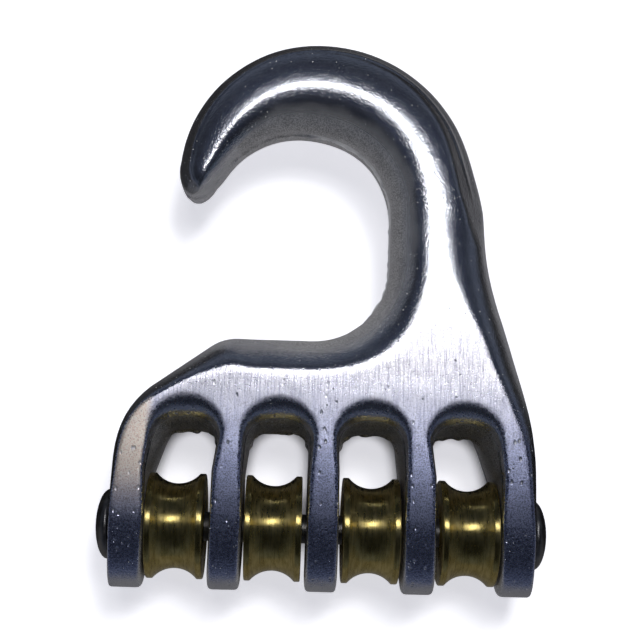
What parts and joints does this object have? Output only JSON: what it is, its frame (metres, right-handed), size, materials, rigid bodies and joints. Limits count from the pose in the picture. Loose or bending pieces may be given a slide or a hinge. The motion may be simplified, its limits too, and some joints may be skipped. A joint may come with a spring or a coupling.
{
  "type": "hook block",
  "caption": "Tackle block for rope with a cast hook: grooved brass sheaves run side by side on a riveted pin between the legs of the body.",
  "frame": {"origin": "middle of the flat back of the crown, on the centre line of the row of sheaves, 37 mm from the pin's axis", "axes": "+Y from the pin towards the hook, +X along the pin so that the hook opens towards -X, +Z out of the front face"},
  "size_m": [0.1094, 0.1372, 0.03],
  "materials": {
    "cast_aluminium": "tumbled and linished casting",
    "pin_steel": "dark polished",
    "sheave_brass": "turned"
  },
  "bodies": {
    "frame": {"hook_body": "cast_aluminium", "axle_rivet": "pin_steel"},
    "sheave_1_body": {"sheave_1": "sheave_brass"},
    "sheave_2_body": {"sheave_2": "sheave_brass"},
    "sheave_3_body": {"sheave_3": "sheave_brass"},
    "sheave_4_body": {"sheave_4": "sheave_brass"}
  },
  "joints": [
    {"name": "sheave_1_spin", "type": "hinge", "parent": "frame", "child": "sheave_1_body", "pos_m": [-0.03525, -0.037, 0.015], "axis": [1, 0, 0], "continuous": true},
    {"name": "sheave_2_spin", "type": "hinge", "parent": "frame", "child": "sheave_2_body", "pos_m": [-0.01175, -0.037, 0.015], "axis": [1, 0, 0], "continuous": true},
    {"name": "sheave_3_spin", "type": "hinge", "parent": "frame", "child": "sheave_3_body", "pos_m": [0.01175, -0.037, 0.015], "axis": [1, 0, 0], "continuous": true},
    {"name": "sheave_4_spin", "type": "hinge", "parent": "frame", "child": "sheave_4_body", "pos_m": [0.03525, -0.037, 0.015], "axis": [1, 0, 0], "continuous": true}
  ]
}
